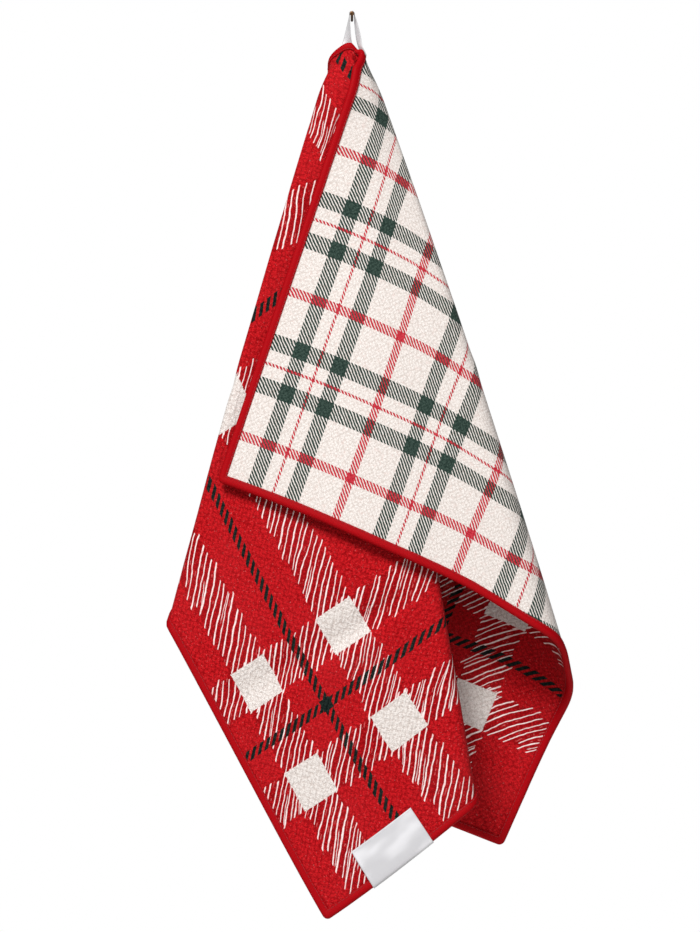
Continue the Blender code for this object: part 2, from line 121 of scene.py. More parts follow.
# Corrections to where the pattern lies, rounded from measured shifts, as the folds are not quite the
# real ones: a flat place, how far the pattern moves across and down, and how far that is felt.
PATTERN_MOVES = (
    ("strip, top dashes", -0.009, 0.016, 0.0080, -0.0045, 0.010),
    ("strip, by the shoulder", -0.028, 0.028, -0.0030, -0.0120, 0.014),
    ("strip, upper hatching", -0.045, 0.048, -0.0045, -0.0065, 0.014),
    ("strip, under the hatching", -0.060, 0.070, -0.0060, 0.0020, 0.018),
    ("strip, middle", -0.105, 0.100, -0.0090, 0.0020, 0.025),
    ("strip, lower hatching", -0.153, 0.133, -0.0100, -0.0030, 0.025),
    ("left fold", -0.210, 0.173, -0.0020, -0.0045, 0.030),
    ("front panel, upper left", -0.258, 0.270, 0.0005, -0.0010, 0.040),
    ("front panel, upper square", -0.197, 0.311, 0.0040, 0.0020, 0.024),
    ("front panel, left square", -0.268, 0.313, 0.0000, -0.0005, 0.024),
    ("front panel, crossing", -0.231, 0.345, 0.0005, 0.0045, 0.020),
    ("front panel, right square", -0.200, 0.382, 0.0085, 0.0055, 0.030),
    ("front panel, lower square", -0.267, 0.382, -0.0010, 0.0070, 0.026),
    ("front panel, by the label", -0.240, 0.435, 0.0030, 0.0050, 0.030),
    ("flap, top", 0.033, 0.005, -0.0080, -0.0010, 0.012),
    ("flap, first square", 0.047, 0.028, -0.0050, -0.0065, 0.016),
    ("flap, second red stripe", 0.080, 0.005, -0.0025, -0.0015, 0.020),
    ("flap, by the fold", 0.077, 0.042, -0.0010, -0.0070, 0.022),
    ("flap, middle", 0.120, 0.040, -0.0010, -0.0045, 0.035),
    ("flap, right", 0.170, 0.088, -0.0005, -0.0050, 0.035),
    ("flap, lower left", 0.220, 0.038, -0.0010, -0.0025, 0.050),
    ("flap, lower right", 0.216, 0.119, -0.0010, -0.0035, 0.040),
    ("back panel", 0.250, 0.370, 0.0105, 0.0130, 0.050),
    ("back panel, upper square", 0.246, 0.315, 0.0150, 0.0110, 0.030),
    ("back panel, by the tape", 0.300, 0.345, 0.0100, 0.0045, 0.025),
)

# The weight, beside those moves, of the pattern staying where it is.
STAYS = 0.25

# Sampling of the cloth: lines fanning from the hanging point, and places along each, closer near the point.
LINES = 380
PLACES = 112
FIRST_PLACE = 0.0015
PLACE_POWER = 1.2
# Share of the lines that gather at the bends, found on finer lines and spread by a bell of this many.
BEND_SHARE = 0.35
FINE_LINES = 4000
BEND_SPREAD = 81

# The binding tape's section: share of the way from its inner edge to the cut edge, reach past it, height.
TAPE_HALF = (
    (0.00, 0.0000, 0.00105),
    (0.00, 0.0000, 0.00150),
    (0.05, 0.0000, 0.00180),
    (0.22, 0.0000, 0.00172),
    (0.45, 0.0000, 0.00205),
    (0.80, 0.0000, 0.00222),
    (1.00, 0.0004, 0.00212),
    (1.00, 0.0012, 0.00165),
    (1.00, 0.0017, 0.00090),
)
TAPE_NOSE = 0.0019
TAPE_INSIDE = 0.0004
TAPE_CLEAR = 0.00005
# How uneven its inner edge is, as a share of the lap, the length of that waver and its slice of the noise.
LAP_UNEVEN = 0.05
LAP_WAVER = 0.011
LAP_LAYER = 4.0
# Its way round the edge: the corners' radius and places, and the steps, closer at the middle of the top.
CORNER_ROUND = 0.0025
CORNER_PLACES = 7
TAPE_STEP = 0.0034
TOP_PLACES = 241
TOP_POWER = 1.6
# The place on that way where the tape's section is measured for its UV map.
MEASURED_RING = 5
# Its stitches: share of the way to the cut edge, height off the cloth, length and thickness.
SEAM_SHARE = 0.22
SEAM_UP = 0.00178
SEAM_STITCH = 0.0028
SEAM_THREAD = 0.00042

# Any stitch: places along it, and its hump, in thicknesses: height, flat top and how deep its ends lie.
STITCH_PLACES = 5
STITCH_HUMP = 2.6
STITCH_POWER = 0.6
STITCH_TOP = 1.4
STITCH_SUNK = 1.3

# The nail.
NAIL_RADIUS = 0.0009
NAIL_OUT = 0.0350
NAIL_CUT = 0.0003
HEAD_RADIUS = 0.0015
HEAD_THICK = 0.0010
NAIL_SIDES = 40

# The ribbon loop, a little narrower than its CAD solid, with its legs nearer the middle.
RIBBON_WIDE = 0.0064
RIBBON_THICK = 0.0003
RIBBON_SEWN = 0.0070
RIBBON_RISE = 0.0030
RIBBON_SEAT = 0.0004
RIBBON_WRAP = radians(220.0)
LEG_PLACES = (-0.0034, 0.0062)
# Rows of a leg's sewn end, places on its free part and round the nail, and places across the ribbon.
LEG_SHARES = (1.0, 0.6, 0.3, 0.0)
LEG_STEPS = 12
TURN_STEPS = 15
RIBBON_COLUMNS = 9
RIBBON_CROWN = 0.0003
# How far the right leg turns its flat side to the room.
LEG_FACING = 0.40
# What its CAD solid has: half its thickness, and the tape and gaps between it and the cloth.
RIBBON_OFF = 0.0005
TAPE_THICK = 0.0009
GAP = 0.0003

# The label, folded over the lower edge.
LABEL_LONG = 0.0450
LABEL_TALL = 0.0245
LABEL_FROM_CORNER = 0.0355
LABEL_THICK = 0.0004
LABEL_COLUMNS = 41
LABEL_ON_CLOTH = CLOTH_THICK / 2 + 0.0004
LABEL_ON_TAPE = 0.0026
# Its front half, from the top: way up from the cloth's edge, or past it where below 0, and height.
LABEL_FRONT = (
    (LABEL_TALL, LABEL_ON_CLOTH),
    (LABEL_TALL * 0.93, LABEL_ON_CLOTH),
    (LABEL_TALL * 0.60, LABEL_ON_CLOTH + 0.0011),
    (0.0075, LABEL_ON_CLOTH + 0.0012),
    (0.0040, LABEL_ON_TAPE + 0.0001),
    (0.0010, LABEL_ON_TAPE + 0.0001),
    (-0.0016, LABEL_ON_TAPE * 0.9),
    (-0.0025, LABEL_ON_TAPE * 0.3),
)
# The way up the cloth that finds the direction past its edge.
LABEL_EDGE = 0.0047
# Its slow ripple: height, length, and the way from its top over which it sets in.
RIPPLE_HIGH = 0.00018
RIPPLE_LONG = 0.0062
RIPPLE_SETS_IN = 0.010
# The stitches along its top: in from its sides, down from its top, places, height, length and thickness.
TOP_SEAM_IN = 0.0008
TOP_SEAM_DOWN = 0.0011
TOP_SEAM_PLACES = 80
TOP_SEAM_UP = 0.00022
TOP_SEAM_STITCH = 0.0019
TOP_SEAM_THREAD = 0.00028

# Red face, in metres on the flat cloth: dashed stripes, with a band of slanted threads on each side.
RED_REPEAT = (0.2259, 0.2294)
RED_START = (-0.23075, 0.1196)
BAND_AWAY = 0.0364
BAND_HALF = (0.0137, 0.0133)
THREAD_STEP = 0.0039
THREAD_HALF = 0.00038
FINE_THREADS = 0.22
DASH_STEP = 0.0059
DASH_HALF = 0.00112
DASH_REACH = 0.0032
CROSSING_HALF = 0.0040
# The slanted threads: long and short wander, sway, uneven spacing, ragged ends, soft edge, and how far the
# finer threads run askew.
THREAD_WANDER = 0.0034
THREAD_SHAKE = 0.0006
THREAD_SWAY = 0.0011
THREAD_UNEVEN = 0.30
THREAD_RAGGED = 0.0044
THREAD_SOFT = 0.00016
THREAD_ASKEW = 0.0034
# A slanted step's share along each way of the cloth, a slanted length over the way that it covers, and half
# the width of a sharp change.
SLANT = 0.70711
SLANT_LONG = 1.41421
SHARP = 1e-6

# White face: a check whose stripes run both ways, from the corner of the flap. Middle across and down, width.
CHECK_REPEAT = 0.0972
TWILL_STEP = 0.00192
CHECK_STRIPES = (
    ("broad red", 0.0317, 0.0858, 0.0062),
    ("fine red", 0.0806, 0.0372, 0.0020),
    ("green before", 0.0663, 0.0229, 0.0107),
    ("green after", 0.0949, 0.0515, 0.0107),
)

# The room: the floor, the camera, the room's own light on the towel, and soft boxes aimed at its middle.
FLOOR_SIZE = 1.5
FLOOR_PLACE = (0.0, -0.1, -0.90)
CAMERA_PLACE = (-0.0013, -2.2, -0.297)
SENSOR_WIDE = 36.0
LENS_REACH = 33 / 7
ROOM_LIGHT = 0.13
TOWEL_MIDDLE = (0.0, -0.05, -0.30)
SOFT_BOXES = (
    ("key", (-0.95, -2.3, 2.0), 0.9, 122.0),
    ("fill", (1.2, -1.9, 0.1), 1.2, 8.0),
)


# ---- the drape


def unit(vectors):
    """The same directions at length 1."""
    return vectors / np.linalg.norm(vectors, axis=-1, keepdims=True)


def line_run(line):
    """Length of the way along a line of places, from its first place to each."""
    return np.concatenate([[0.0], np.cumsum(np.linalg.norm(np.diff(line, axis=0), axis=1))])


def column(name):
    """One column of the fold table as an array."""
    return np.array([row[FOLD_COLUMNS.index(name)] for row in FOLDS])


def rounded_section():
    """The drape's section: points (lean, tilt) with rounded bends, and the table row that each is at."""
    corners = np.stack([column("lean"), column("tilt")], 1)
    points, rows = [corners[0]], [0.0]
    for i in range(1, len(corners) - 1):
        before, after = corners[i - 1] - corners[i], corners[i + 1] - corners[i]
        long_before, long_after = np.linalg.norm(before), np.linalg.norm(after)
        cut = min(column("rounding")[i], BEND_MOST * long_before, BEND_MOST * long_after)
        first = corners[i] + before / long_before * cut
        last = corners[i] + after / long_after * cut
        for t in np.linspace(0.0, 1.0, BEND_POINTS):
            points.append((1 - t) ** 2 * first + 2 * t * (1 - t) * corners[i] + t * t * last)
            rows.append(i + cut * (2 * t - 1) / (long_before if t < 0.5 else long_after))
    return np.array(points + [corners[-1]]), np.array(rows + [len(corners) - 1.0])


def cone():
    """Flat angle, direction and table row at each point of the section, with the table's widths."""
    points, rows = rounded_section()
    run = line_run(points)
    at = np.unique(np.concatenate([run, np.linspace(0.0, run[-1], int(run[-1] / FINE_STEP) + 1)]))
    lean, tilt = np.radians([np.interp(at, run, p) for p in points.T])
    rows = np.interp(at, run, rows)
    away = np.stack([np.cos(tilt) * np.sin(lean), -np.sin(tilt), -np.cos(tilt) * np.cos(lean)], 1)
    width = np.interp(rows, np.arange(len(FOLDS)), column("width"))
    widths = np.linalg.norm(np.diff(away, axis=0), axis=1) * width[:-1]
    angle = pi / 2 - np.concatenate([[0.0], np.cumsum(widths)])
    return angle[::-1], away[::-1], rows[::-1]


def eased(name):
    """A column of the fold table against the flat angle, with its corners eased by a bell-shaped average."""
    values = np.interp(np.interp(EASED_ANGLE, ANGLE, ROW), np.arange(len(FOLDS)), column(name))
    bell = np.hanning(2 * BELL_HALF + 1)
    padded = np.pad(values, BELL_HALF, mode="reflect", reflect_type="odd")
    return np.convolve(padded, bell / bell.sum(), "valid")


ANGLE, AWAY, ROW = cone()
EASED_ANGLE = np.linspace(-pi / 2, pi / 2, EASED_LINES)
EASED = {name: eased(name) for name in ("across", "back", "down", "stretch", "bow")}


def line_length(angle):
    """Flat length of the lines at these angles, from the hanging point to the edge of the cloth."""
    down = CLOTH_SHORT / np.maximum(np.cos(angle), 1e-6)
    return np.minimum(down, CLOTH_LONG / 2 / np.maximum(np.abs(np.sin(angle)), 1e-6))


def headings(angle):
    """The direction in which the line at each flat angle hangs."""
    return np.stack([np.interp(angle, ANGLE, AWAY[:, k]) for k in range(3)], -1)


def hang(across, down):
    """Where flat places hang: across from the hanging point, and down from the top edge."""
    across, down = np.broadcast_arrays(across, down)
    away, angle = np.hypot(across, down), np.arctan2(across, down)
    at = {name: np.interp(angle, EASED_ANGLE, values) for name, values in EASED.items()}
    fan = RISE * np.stack([np.sin(angle * FAN_SPREAD), 0 * angle, -np.cos(angle * FAN_SPREAD)], -1)
    start = np.stack([at["across"], at["back"], at["down"]], -1)
    start = fan + (start - fan) * np.minimum(away / RISE, 1.0)[..., None]
    bow = at["bow"] * np.sin(pi * np.minimum(away / line_length(angle), 1.0))
    # A line leaves along its start and turns evenly into its own heading.
    straight = np.where(away < 2 * RISE, away**2 / (4 * RISE), away - RISE)
    risen = ((away - straight) / RISE)[..., None]
    pulled = np.stack([bow, 0 * bow, 0 * bow], -1)
    for _, x, y, right, up, felt in PULLS:
        share = np.exp(-((across - x) ** 2 + (down - y) ** 2) / (2 * felt**2))
        pulled += share[..., None] * (right, 0.0, up)
    return HANG_POINT + start * risen + headings(angle) * (straight * at["stretch"])[..., None] + pulled


def normals(across, down):
    """Unit normals of the hanging cloth on its red face."""
    side = hang(across + NORMAL_STEP, down) - hang(across - NORMAL_STEP, down)
    fall = hang(across, down + NORMAL_STEP) - hang(across, np.maximum(down - NORMAL_STEP, 0.0))
    return unit(np.cross(fall, side))


def smooth_step(value, low, high):
    """0 below low and 1 above high, with an S-shaped rise between them."""
    share = np.clip((value - low) / (high - low), 0.0, 1.0)
    return share * share * (3 - 2 * share)


def relief(across, down):
    """How far the cloth stands off its drape: creases and a slow wave."""
    total = np.zeros(np.shape(across))
    for _, x0, y0, x1, y1, height, spread in CREASES:
        along = np.array((x1 - x0, y1 - y0))
        long = np.hypot(*along)
        run = ((across - x0) * along[0] + (down - y0) * along[1]) / long
        off = ((down - y0) * along[0] - (across - x0) * along[1]) / long
        fade = 1.0
        if long < FULL_CREASE:
            begin, end = (smooth_step(way, -0.001, CREASE_FADE * long) for way in (run, long - run))
            fade = begin * end
        total += height * fade * np.exp(-((off / spread) ** 2))
    places = np.stack([np.ravel(across), np.ravel(down)], -1) / WAVE_LONG
    wave = np.array([noise.noise(Vector((x, y, WAVE_LAYER))) for x, y in places]).reshape(np.shape(across))
    return (total + WAVE_HIGH * wave) * smooth_step(np.hypot(across, down), *RELIEF_SETS_IN)


def cloth_place(across, down, up=0.0):
    """Places on the hanging cloth, or standing off its red face by the height given."""
    across, down = np.broadcast_arrays(across, down)
    off = relief(across, down) + up
    return hang(across, down) + normals(across, down) * off[..., None]


def pattern_place(across, down):
    """The place in the pattern that each flat place shows."""
    total = np.zeros(across.shape + (2,))
    weight = np.full(across.shape, STAYS)
    for _, x, y, to_x, to_y, felt in PATTERN_MOVES:
        share = np.exp(-((across - x) ** 2 + (down - y) ** 2) / (2 * felt**2))
        total += share[..., None] * (to_x, to_y)
        weight += share
    return np.stack([across, down], -1) + total / weight[..., None]


# ---- making pieces


def bent_grid(name, places, flats, material, thickness=0.0, closed=False):
    """A piece from a square grid, bent so that its corners lie at the places given, with a flat UV map."""
    columns, rows = places.shape[0] - 1, places.shape[1] - 1
    bm = bmesh.new()
    bmesh.ops.create_grid(bm, x_segments=columns, y_segments=rows, size=0.5)
    flat = bm.loops.layers.uv.new("flat")
    at = {v: (round((v.co.x + 0.5) * columns), round((v.co.y + 0.5) * rows)) for v in bm.verts}
    for face in bm.faces:
        face.smooth = True
        for loop in face.loops:
            loop[flat].uv = flats[at[loop.vert]]
    for vert, corner in at.items():
        vert.co = places[corner]
    if closed:
        bmesh.ops.remove_doubles(bm, verts=bm.verts, dist=1e-7)
        bmesh.ops.holes_fill(bm, edges=bm.edges, sides=40)
        bmesh.ops.recalc_face_normals(bm, faces=bm.faces)
    ob = finished(bm, name, material)
    if thickness:
        solid = ob.modifiers.new("thickness", "SOLIDIFY")
        solid.thickness = thickness
        solid.offset = 0.0
    return ob


def placed(bm, name, material):
    """The object made from a bmesh, in the scene."""
    me = bpy.data.meshes.new(name)
    bm.to_mesh(me)
    bm.free()
    me.materials.append(material)
    ob = bpy.data.objects.new(name, me)
    bpy.context.scene.collection.objects.link(ob)
    return ob


def finished(bm, name, material):
    """The piece made from a bmesh, which rides with the whole towel."""
    ob = placed(bm, name, material)
    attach(ob, "root")
    return ob


def line_angles():
    """Flat angles of the cloth's lines: even, but closer at bends, with one at each lower corner."""
    fine = np.linspace(-pi / 2, pi / 2, FINE_LINES)
    turn = unit(np.gradient(headings(fine), axis=0))
    bend = np.linalg.norm(np.gradient(turn, axis=0), axis=1)
    bell = np.hanning(BEND_SPREAD)
    bend = np.convolve(bend, bell / bell.sum(), "same")
    density = (1 - BEND_SHARE) / len(fine) + BEND_SHARE * bend / bend.sum()
    run = np.cumsum(density)
    run = (run - run[0]) / (run[-1] - run[0])
    angles = np.interp(np.linspace(0, 1, LINES + 1), run, fine)
    corner = np.arctan2(CLOTH_LONG / 2, CLOTH_SHORT)
    for mark in (-corner, corner):
        angles[np.argmin(np.abs(angles - mark))] = mark
    return angles


def make_towel(red_face, white_face):
    """The one sheet of cloth, red on its normal side and white on the other."""
    angle = line_angles()[::-1, None]
    share = np.linspace(0.0, 1.0, PLACES + 1) ** PLACE_POWER
    away = FIRST_PLACE + (line_length(angle) - FIRST_PLACE) * share
    across, down = away * np.sin(angle), np.maximum(away * np.cos(angle), 0.0)
    flats = pattern_place(across, down)
    towel = bent_grid("towel_cloth", cloth_place(across, down), flats, red_face, CLOTH_THICK)
    towel.data.materials.append(white_face)
    towel.modifiers["thickness"].material_offset = 1
    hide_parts("cloth")
    return towel


def edge_route():
    """Flat places round the cut edge, down the left side and on round, with small rounded corners."""
    half, low = CLOTH_LONG / 2, CLOTH_SHORT
    corners = np.array([(-half, 0.0), (-half, low), (half, low), (half, 0.0)])
    route = []
    for k, corner in enumerate(corners):
        before, after = corners[k - 1] - corner, corners[(k + 1) % 4] - corner
        before, long = before / np.hypot(*before), np.hypot(*after)
        after = after / long
        centre = corner + CORNER_ROUND * (before + after)
        for t in np.linspace(0.0, pi / 2, CORNER_PLACES):
            route.append(centre - CORNER_ROUND * (after * cos(t) + before * sin(t)))
        run = np.arange(CORNER_ROUND + TAPE_STEP, long - CORNER_ROUND - TAPE_STEP / 2, TAPE_STEP)
        if k == 3:
            # The top edge gathers at the hanging point, so its places are closer there.
            even = np.linspace(-1, 1, TOP_PLACES)
            away = np.abs(even) ** TOP_POWER * np.sign(even)
            run = long / 2 + away * (long / 2 - CORNER_ROUND - TAPE_STEP)
        route += [corner + after * step for step in run]
    return np.array(route + [route[0]])


def tape_frames(route):
    """Inner and outer places of the tape along the route, their normals, and the way out from the cloth."""
    run = line_run(route)
    waver = np.array([noise.noise(Vector((s / LAP_WAVER, 0.0, LAP_LAYER))) for s in run])
    lap = TAPE_LAP * (1 + LAP_UNEVEN * waver)
    lap[-1] = lap[0]
    inner = np.stack([
        np.clip(route[:, 0], lap - CLOTH_LONG / 2, CLOTH_LONG / 2 - lap),
        np.clip(route[:, 1], lap, CLOTH_SHORT - lap),
    ], -1)
    low, high = cloth_place(*inner.T), cloth_place(*route.T)
    reach = high - low
    out = reach / np.minimum(np.linalg.norm(reach, axis=1, keepdims=True), TAPE_LAP)
    return low, normals(*inner.T), high, normals(*route.T), out


def make_binding(material):
    """The tape folded over all four edges."""
    route = edge_route()
    low, low_up, high, high_up, out = tape_frames(route)
    half = list(TAPE_HALF)
    outline = half + [(1.0, TAPE_NOSE, 0.0)] + [(s, past, -up) for s, past, up in half[::-1]]
    inside = CLOTH_THICK / 2 + TAPE_CLEAR
    outline += [(1.0, TAPE_INSIDE, -inside), (1.0, TAPE_INSIDE, inside), half[0]]
    rings = []
    for share, past, up in outline:
        place = low + (high - low) * share + out * past
        rings.append(place + (low_up + (high_up - low_up) * share) * up)
    rings = np.stack(rings, 1)
    around = line_run(rings[MEASURED_RING])
    flats = np.stack(np.broadcast_arrays(line_run(route)[:, None], around), -1)
    tape = bent_grid("binding_tape", rings, flats, material, closed=True)
    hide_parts("binding")
    return tape


def sewn_thread(name, line, up, stitch, thick, material, sides=5):
    """A thread that rises over the cloth and dips into it, stitch by stitch, along a close line of places."""
    run = line_run(line)
    count = round(run[-1] / stitch)
    at = np.linspace(0.0, run[-1], count * STITCH_PLACES + 1)
    swing = np.abs(np.sin(pi * (at / run[-1] * count)))
    rise = thick * (np.minimum(STITCH_HUMP * swing**STITCH_POWER, STITCH_TOP) - STITCH_SUNK)
    middle = np.stack([np.interp(at, run, c) for c in line.T], -1)
    lift = unit(np.stack([np.interp(at, run, c) for c in up.T], -1))
    middle = middle + lift * rise[:, None]
    along = unit(np.gradient(middle, axis=0))
    side = unit(np.cross(along, lift))
    top = np.cross(side, along)
    turn = np.linspace(0, 2 * pi, sides + 1)
    rings = middle[:, None] + thick / 2 * (
        side[:, None] * np.cos(turn)[:, None] + top[:, None] * np.sin(turn)[:, None]
    )
    flats = np.stack(np.broadcast_arrays(at[:, None], turn * thick / 2), -1)
    return bent_grid(name, rings, flats, material, closed=True)


def make_binding_stitches(material):
    """The row of stitches near the tape's inner edge, on both faces."""
    route = edge_route()
    low, low_up, high, high_up, _ = tape_frames(route)
    place = low + (high - low) * SEAM_SHARE
    up = low_up + (high_up - low_up) * SEAM_SHARE
    threads = []
    for face, name in ((1, "binding_stitches_front"), (-1, "binding_stitches_back")):
        line = place + up * face * SEAM_UP
        thread = sewn_thread(name, line, up * face, SEAM_STITCH, SEAM_THREAD, material, sides=4)
        threads.append(thread)
    return threads


def cut_corners(points, times=3):
    """A line of points with its corners cut off again and again, so that it runs smoothly."""
    points = np.asarray(points, float)
    for _ in range(times):
        near = points[:-1] * 0.75 + points[1:] * 0.25
        far = points[:-1] * 0.25 + points[1:] * 0.75
        middle = np.stack([near, far], 1).reshape(-1, points.shape[1])
        points = np.concatenate([points[:1], middle[1:-1], points[-1:]])
    return points


def label_places(across, inset, up):
    """Places over the lower edge: up the cloth by the inset, or past its edge where the inset is below 0."""
    down = CLOTH_SHORT - np.maximum(inset, 0.0)
    near = np.minimum(down, CLOTH_SHORT - NORMAL_STEP)
    beyond = unit(cloth_place(across, CLOTH_SHORT) - cloth_place(across, CLOTH_SHORT - LABEL_EDGE))
    place = cloth_place(across, down) + normals(across, near) * up[..., None]
    return place + beyond * np.maximum(-inset, 0.0)[..., None]


def make_label(satin, thread):
    """The blank label folded over the lower edge, and the thread that sews its top."""
    path = cut_corners(LABEL_FRONT + tuple((inset, -up) for inset, up in LABEL_FRONT[::-1]))
    left = LABEL_FROM_CORNER - CLOTH_LONG / 2
    across = (left + LABEL_LONG * np.linspace(0, 1, LABEL_COLUMNS))[:, None]
    across, inset, up = np.broadcast_arrays(across, *path.T)
    ripple = RIPPLE_HIGH * np.sin(across / RIPPLE_LONG)
    up = up + np.sign(up) * (ripple * smooth_step(LABEL_TALL - np.abs(inset), 0.0, RIPPLE_SETS_IN))
    flats = np.stack(np.broadcast_arrays(across - left, line_run(path)), -1)
    label = bent_grid("blank_label", label_places(across, inset, up), flats, satin, LABEL_THICK)
    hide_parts("label")
    sewn = left + np.linspace(TOP_SEAM_IN, LABEL_LONG - TOP_SEAM_IN, TOP_SEAM_PLACES)
    inset = np.full(TOP_SEAM_PLACES, LABEL_TALL - TOP_SEAM_DOWN)
    row = label_places(sewn, inset, np.full(TOP_SEAM_PLACES, LABEL_ON_CLOTH + TOP_SEAM_UP))
    up = normals(sewn, CLOTH_SHORT - inset)
    stitches = sewn_thread("label_stitches", row, up, TOP_SEAM_STITCH, TOP_SEAM_THREAD, thread)
    return label, stitches


def leg(place):
    """One sewn leg of the loop behind the top edge: middles and half widths of its rows, from its end up."""
    behind = CLOTH_THICK / 2 + GAP + TAPE_THICK + 2 * GAP + RIBBON_OFF
    down = RIBBON_SEWN * np.array(LEG_SHARES)[:, None]
    across = place + RIBBON_WIDE / 2 * np.array([-1.0, 0.0, 1.0])
    across, down = np.broadcast_arrays(across, down)
    rows = hang(across, down) - normals(across, np.maximum(down, 2 * NORMAL_STEP)) * behind
    lift = unit(rows[-1] - rows[-2])
    rows = np.concatenate([rows, (rows[-1] + lift * RIBBON_RISE)[None]])
    return rows[:, 1], rows[:, 2] - rows[:, 1]


def make_ribbon(material):
    """The ribbon loop: two legs sewn behind the top edge, turned over the nail between them."""
    turn = NAIL_RADIUS + RIBBON_SEAT + RIBBON_OFF
    swing = pi / 2 + RIBBON_WRAP * (0.5 - np.linspace(0, 1, TURN_STEPS))
    over = np.stack([turn * np.cos(swing), 0 * swing + HANG_POINT[1], turn * np.sin(swing)], -1)
    over_side = np.broadcast_to((0.0, -RIBBON_WIDE / 2, 0.0), over.shape)
    left, left_side = leg(LEG_PLACES[0])
    right, right_side = leg(LEG_PLACES[1])
    share = np.linspace(0, 1, LEG_STEPS)[1:-1, None]
    turned = np.sqrt(share * (2.0 - share))
    facing = share * (1.0 - share**5) * (RIBBON_WIDE * LEG_FACING, 0.0, 0.0)
    middles = [left, left[-1] + (over[0] - left[-1]) * share, over]
    middles += [over[-1] + (right[-1] - over[-1]) * share, right[::-1]]
    sides = [left_side, left_side[-1] * (1 - share) + over_side[0] * turned, over_side]
    sides += [right_side[-1] * share + over_side[-1] * turned[::-1] + facing, right_side[::-1]]
    middle, side = np.concatenate(middles), np.concatenate(sides)
    side = unit(side) * RIBBON_WIDE / 2
    lift = unit(np.cross(np.gradient(middle, axis=0), side))
    off = np.linspace(-1, 1, RIBBON_COLUMNS)
    places = middle[:, None] + side[:, None] * off[:, None]
    places = places + lift[:, None] * (RIBBON_CROWN * (1 - off**2))[:, None]
    flats = np.stack(np.broadcast_arrays(line_run(middle)[:, None], off * RIBBON_WIDE / 2), -1)
    ribbon = bent_grid("hanging_ribbon", places, flats, material, RIBBON_THICK)
    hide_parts("hanging_loop")
    return ribbon


def make_nail(material):
    """The round nail, with a shallow dome on its head and a soft edge where it was cut."""
    bm = bmesh.new()
    # The head, from the shank to its tip: radius, and way back from the tip in thicknesses of the head.
    head = (
        (NAIL_RADIUS, 1.15),
        (NAIL_RADIUS * 1.12, 0.95),
        (HEAD_RADIUS * 0.96, 0.85),
        (HEAD_RADIUS, 0.65),
        (HEAD_RADIUS, 0.35),
        (HEAD_RADIUS * 0.93, 0.16),
        (HEAD_RADIUS * 0.6, 0.04),
        (0.0, 0.0),
    )
    profile = [(0.0, 0.0), (NAIL_RADIUS * 0.8, 0.0), (NAIL_RADIUS, -NAIL_CUT)]
    profile += [(radius, HEAD_THICK * back - NAIL_OUT) for radius, back in head]
    verts = [bm.verts.new((radius, y, 0.0)) for radius, y in profile]
    edges = [bm.edges.new(pair) for pair in zip(verts, verts[1:])]
    bmesh.ops.spin(bm, geom=verts + edges, axis=(0, 1, 0), steps=NAIL_SIDES, angle=2 * pi, use_merge=True)
    bmesh.ops.remove_doubles(bm, verts=bm.verts, dist=0.000005)
    bmesh.ops.recalc_face_normals(bm, faces=bm.faces)
    for face in bm.faces:
        face.smooth = True
    nail = finished(bm, "wall_nail", material)
    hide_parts("nail")
    return nail


# ---- patterns and materials


def dye(shown):
    """A colour given as a screen shows it, red, green and blue in 0 to 255, as light."""
    shares = (c / 255 for c in shown)
    return tuple(c / 12.92 if c < 0.04045 else ((c + 0.055) / 1.055) ** 2.4 for c in shares) + (1.0,)


class Term:
    """A number that varies over a material, with the sums that its patterns are worked out with."""

    def __init__(self, tree, socket):
        self.tree, self.socket = tree, socket

    def sum(self, kind, *others):
        node = self.tree.nodes.new("ShaderNodeMath")
        node.operation = kind
        for place, value in zip(node.inputs, (self,) + others):
            set_or_link(self.tree, place, value)
        return Term(self.tree, node.outputs[0])

    __add__ = partialmethod(sum, "ADD")
    __sub__ = partialmethod(sum, "SUBTRACT")
    __mul__ = partialmethod(sum, "MULTIPLY")
    __truediv__ = partialmethod(sum, "DIVIDE")
    floor = partialmethod(sum, "FLOOR")
    fract = partialmethod(sum, "FRACT")
    sine = partialmethod(sum, "SINE")
    abs = partialmethod(sum, "ABSOLUTE")
    most = partialmethod(sum, "MAXIMUM")

    def rising(self, low, high, first=0.0, last=1.0):
        """first below low and last above high, with an S-shaped rise between them."""
        node = self.tree.nodes.new("ShaderNodeMapRange")
        node.interpolation_type = "SMOOTHSTEP"
        for name, value in (("From Min", low), ("From Max", high), ("To Min", first), ("To Max", last)):
            set_or_link(self.tree, node.inputs[name], value)
        self.tree.links.new(self.socket, node.inputs["Value"])
        return Term(self.tree, node.outputs["Result"])

    def within(self, half, soft=0.0002):
        """1 where the number is nearer 0 than half, with a soft edge."""
        away = self.abs()
        return (away - half).rising(-soft, soft, 1.0, 0.0)


def set_or_link(tree, socket, value):
    """Give a node's input a Term or a plain value."""
    if isinstance(value, Term):
        tree.links.new(value.socket, socket)
    else:
        socket.default_value = value


def pair(tree, x, y):
    """Two numbers as one vector."""
    node = tree.nodes.new("ShaderNodeCombineXYZ")
    set_or_link(tree, node.inputs["X"], x)
    set_or_link(tree, node.inputs["Y"], y)
    return node.outputs["Vector"]


def cloudy(tree, x, y, scale=1.0, detail=2.0, rough=0.5):
    """Soft random blotches, from 0 to 1, over the two numbers given."""
    node = tree.nodes.new("ShaderNodeTexNoise")
    node.noise_dimensions = "2D"
    node.inputs["Scale"].default_value = scale
    node.inputs["Detail"].default_value = detail
    node.inputs["Roughness"].default_value = rough
    tree.links.new(pair(tree, x, y), node.inputs["Vector"])
    return Term(tree, node.outputs["Fac"])


def chance(tree, x, y):
    """One random number, from 0 to 1, for each pair of whole numbers."""
    node = tree.nodes.new("ShaderNodeTexWhiteNoise")
    node.noise_dimensions = "2D"
    tree.links.new(pair(tree, x, y), node.inputs["Vector"])
    return Term(tree, node.outputs["Value"])


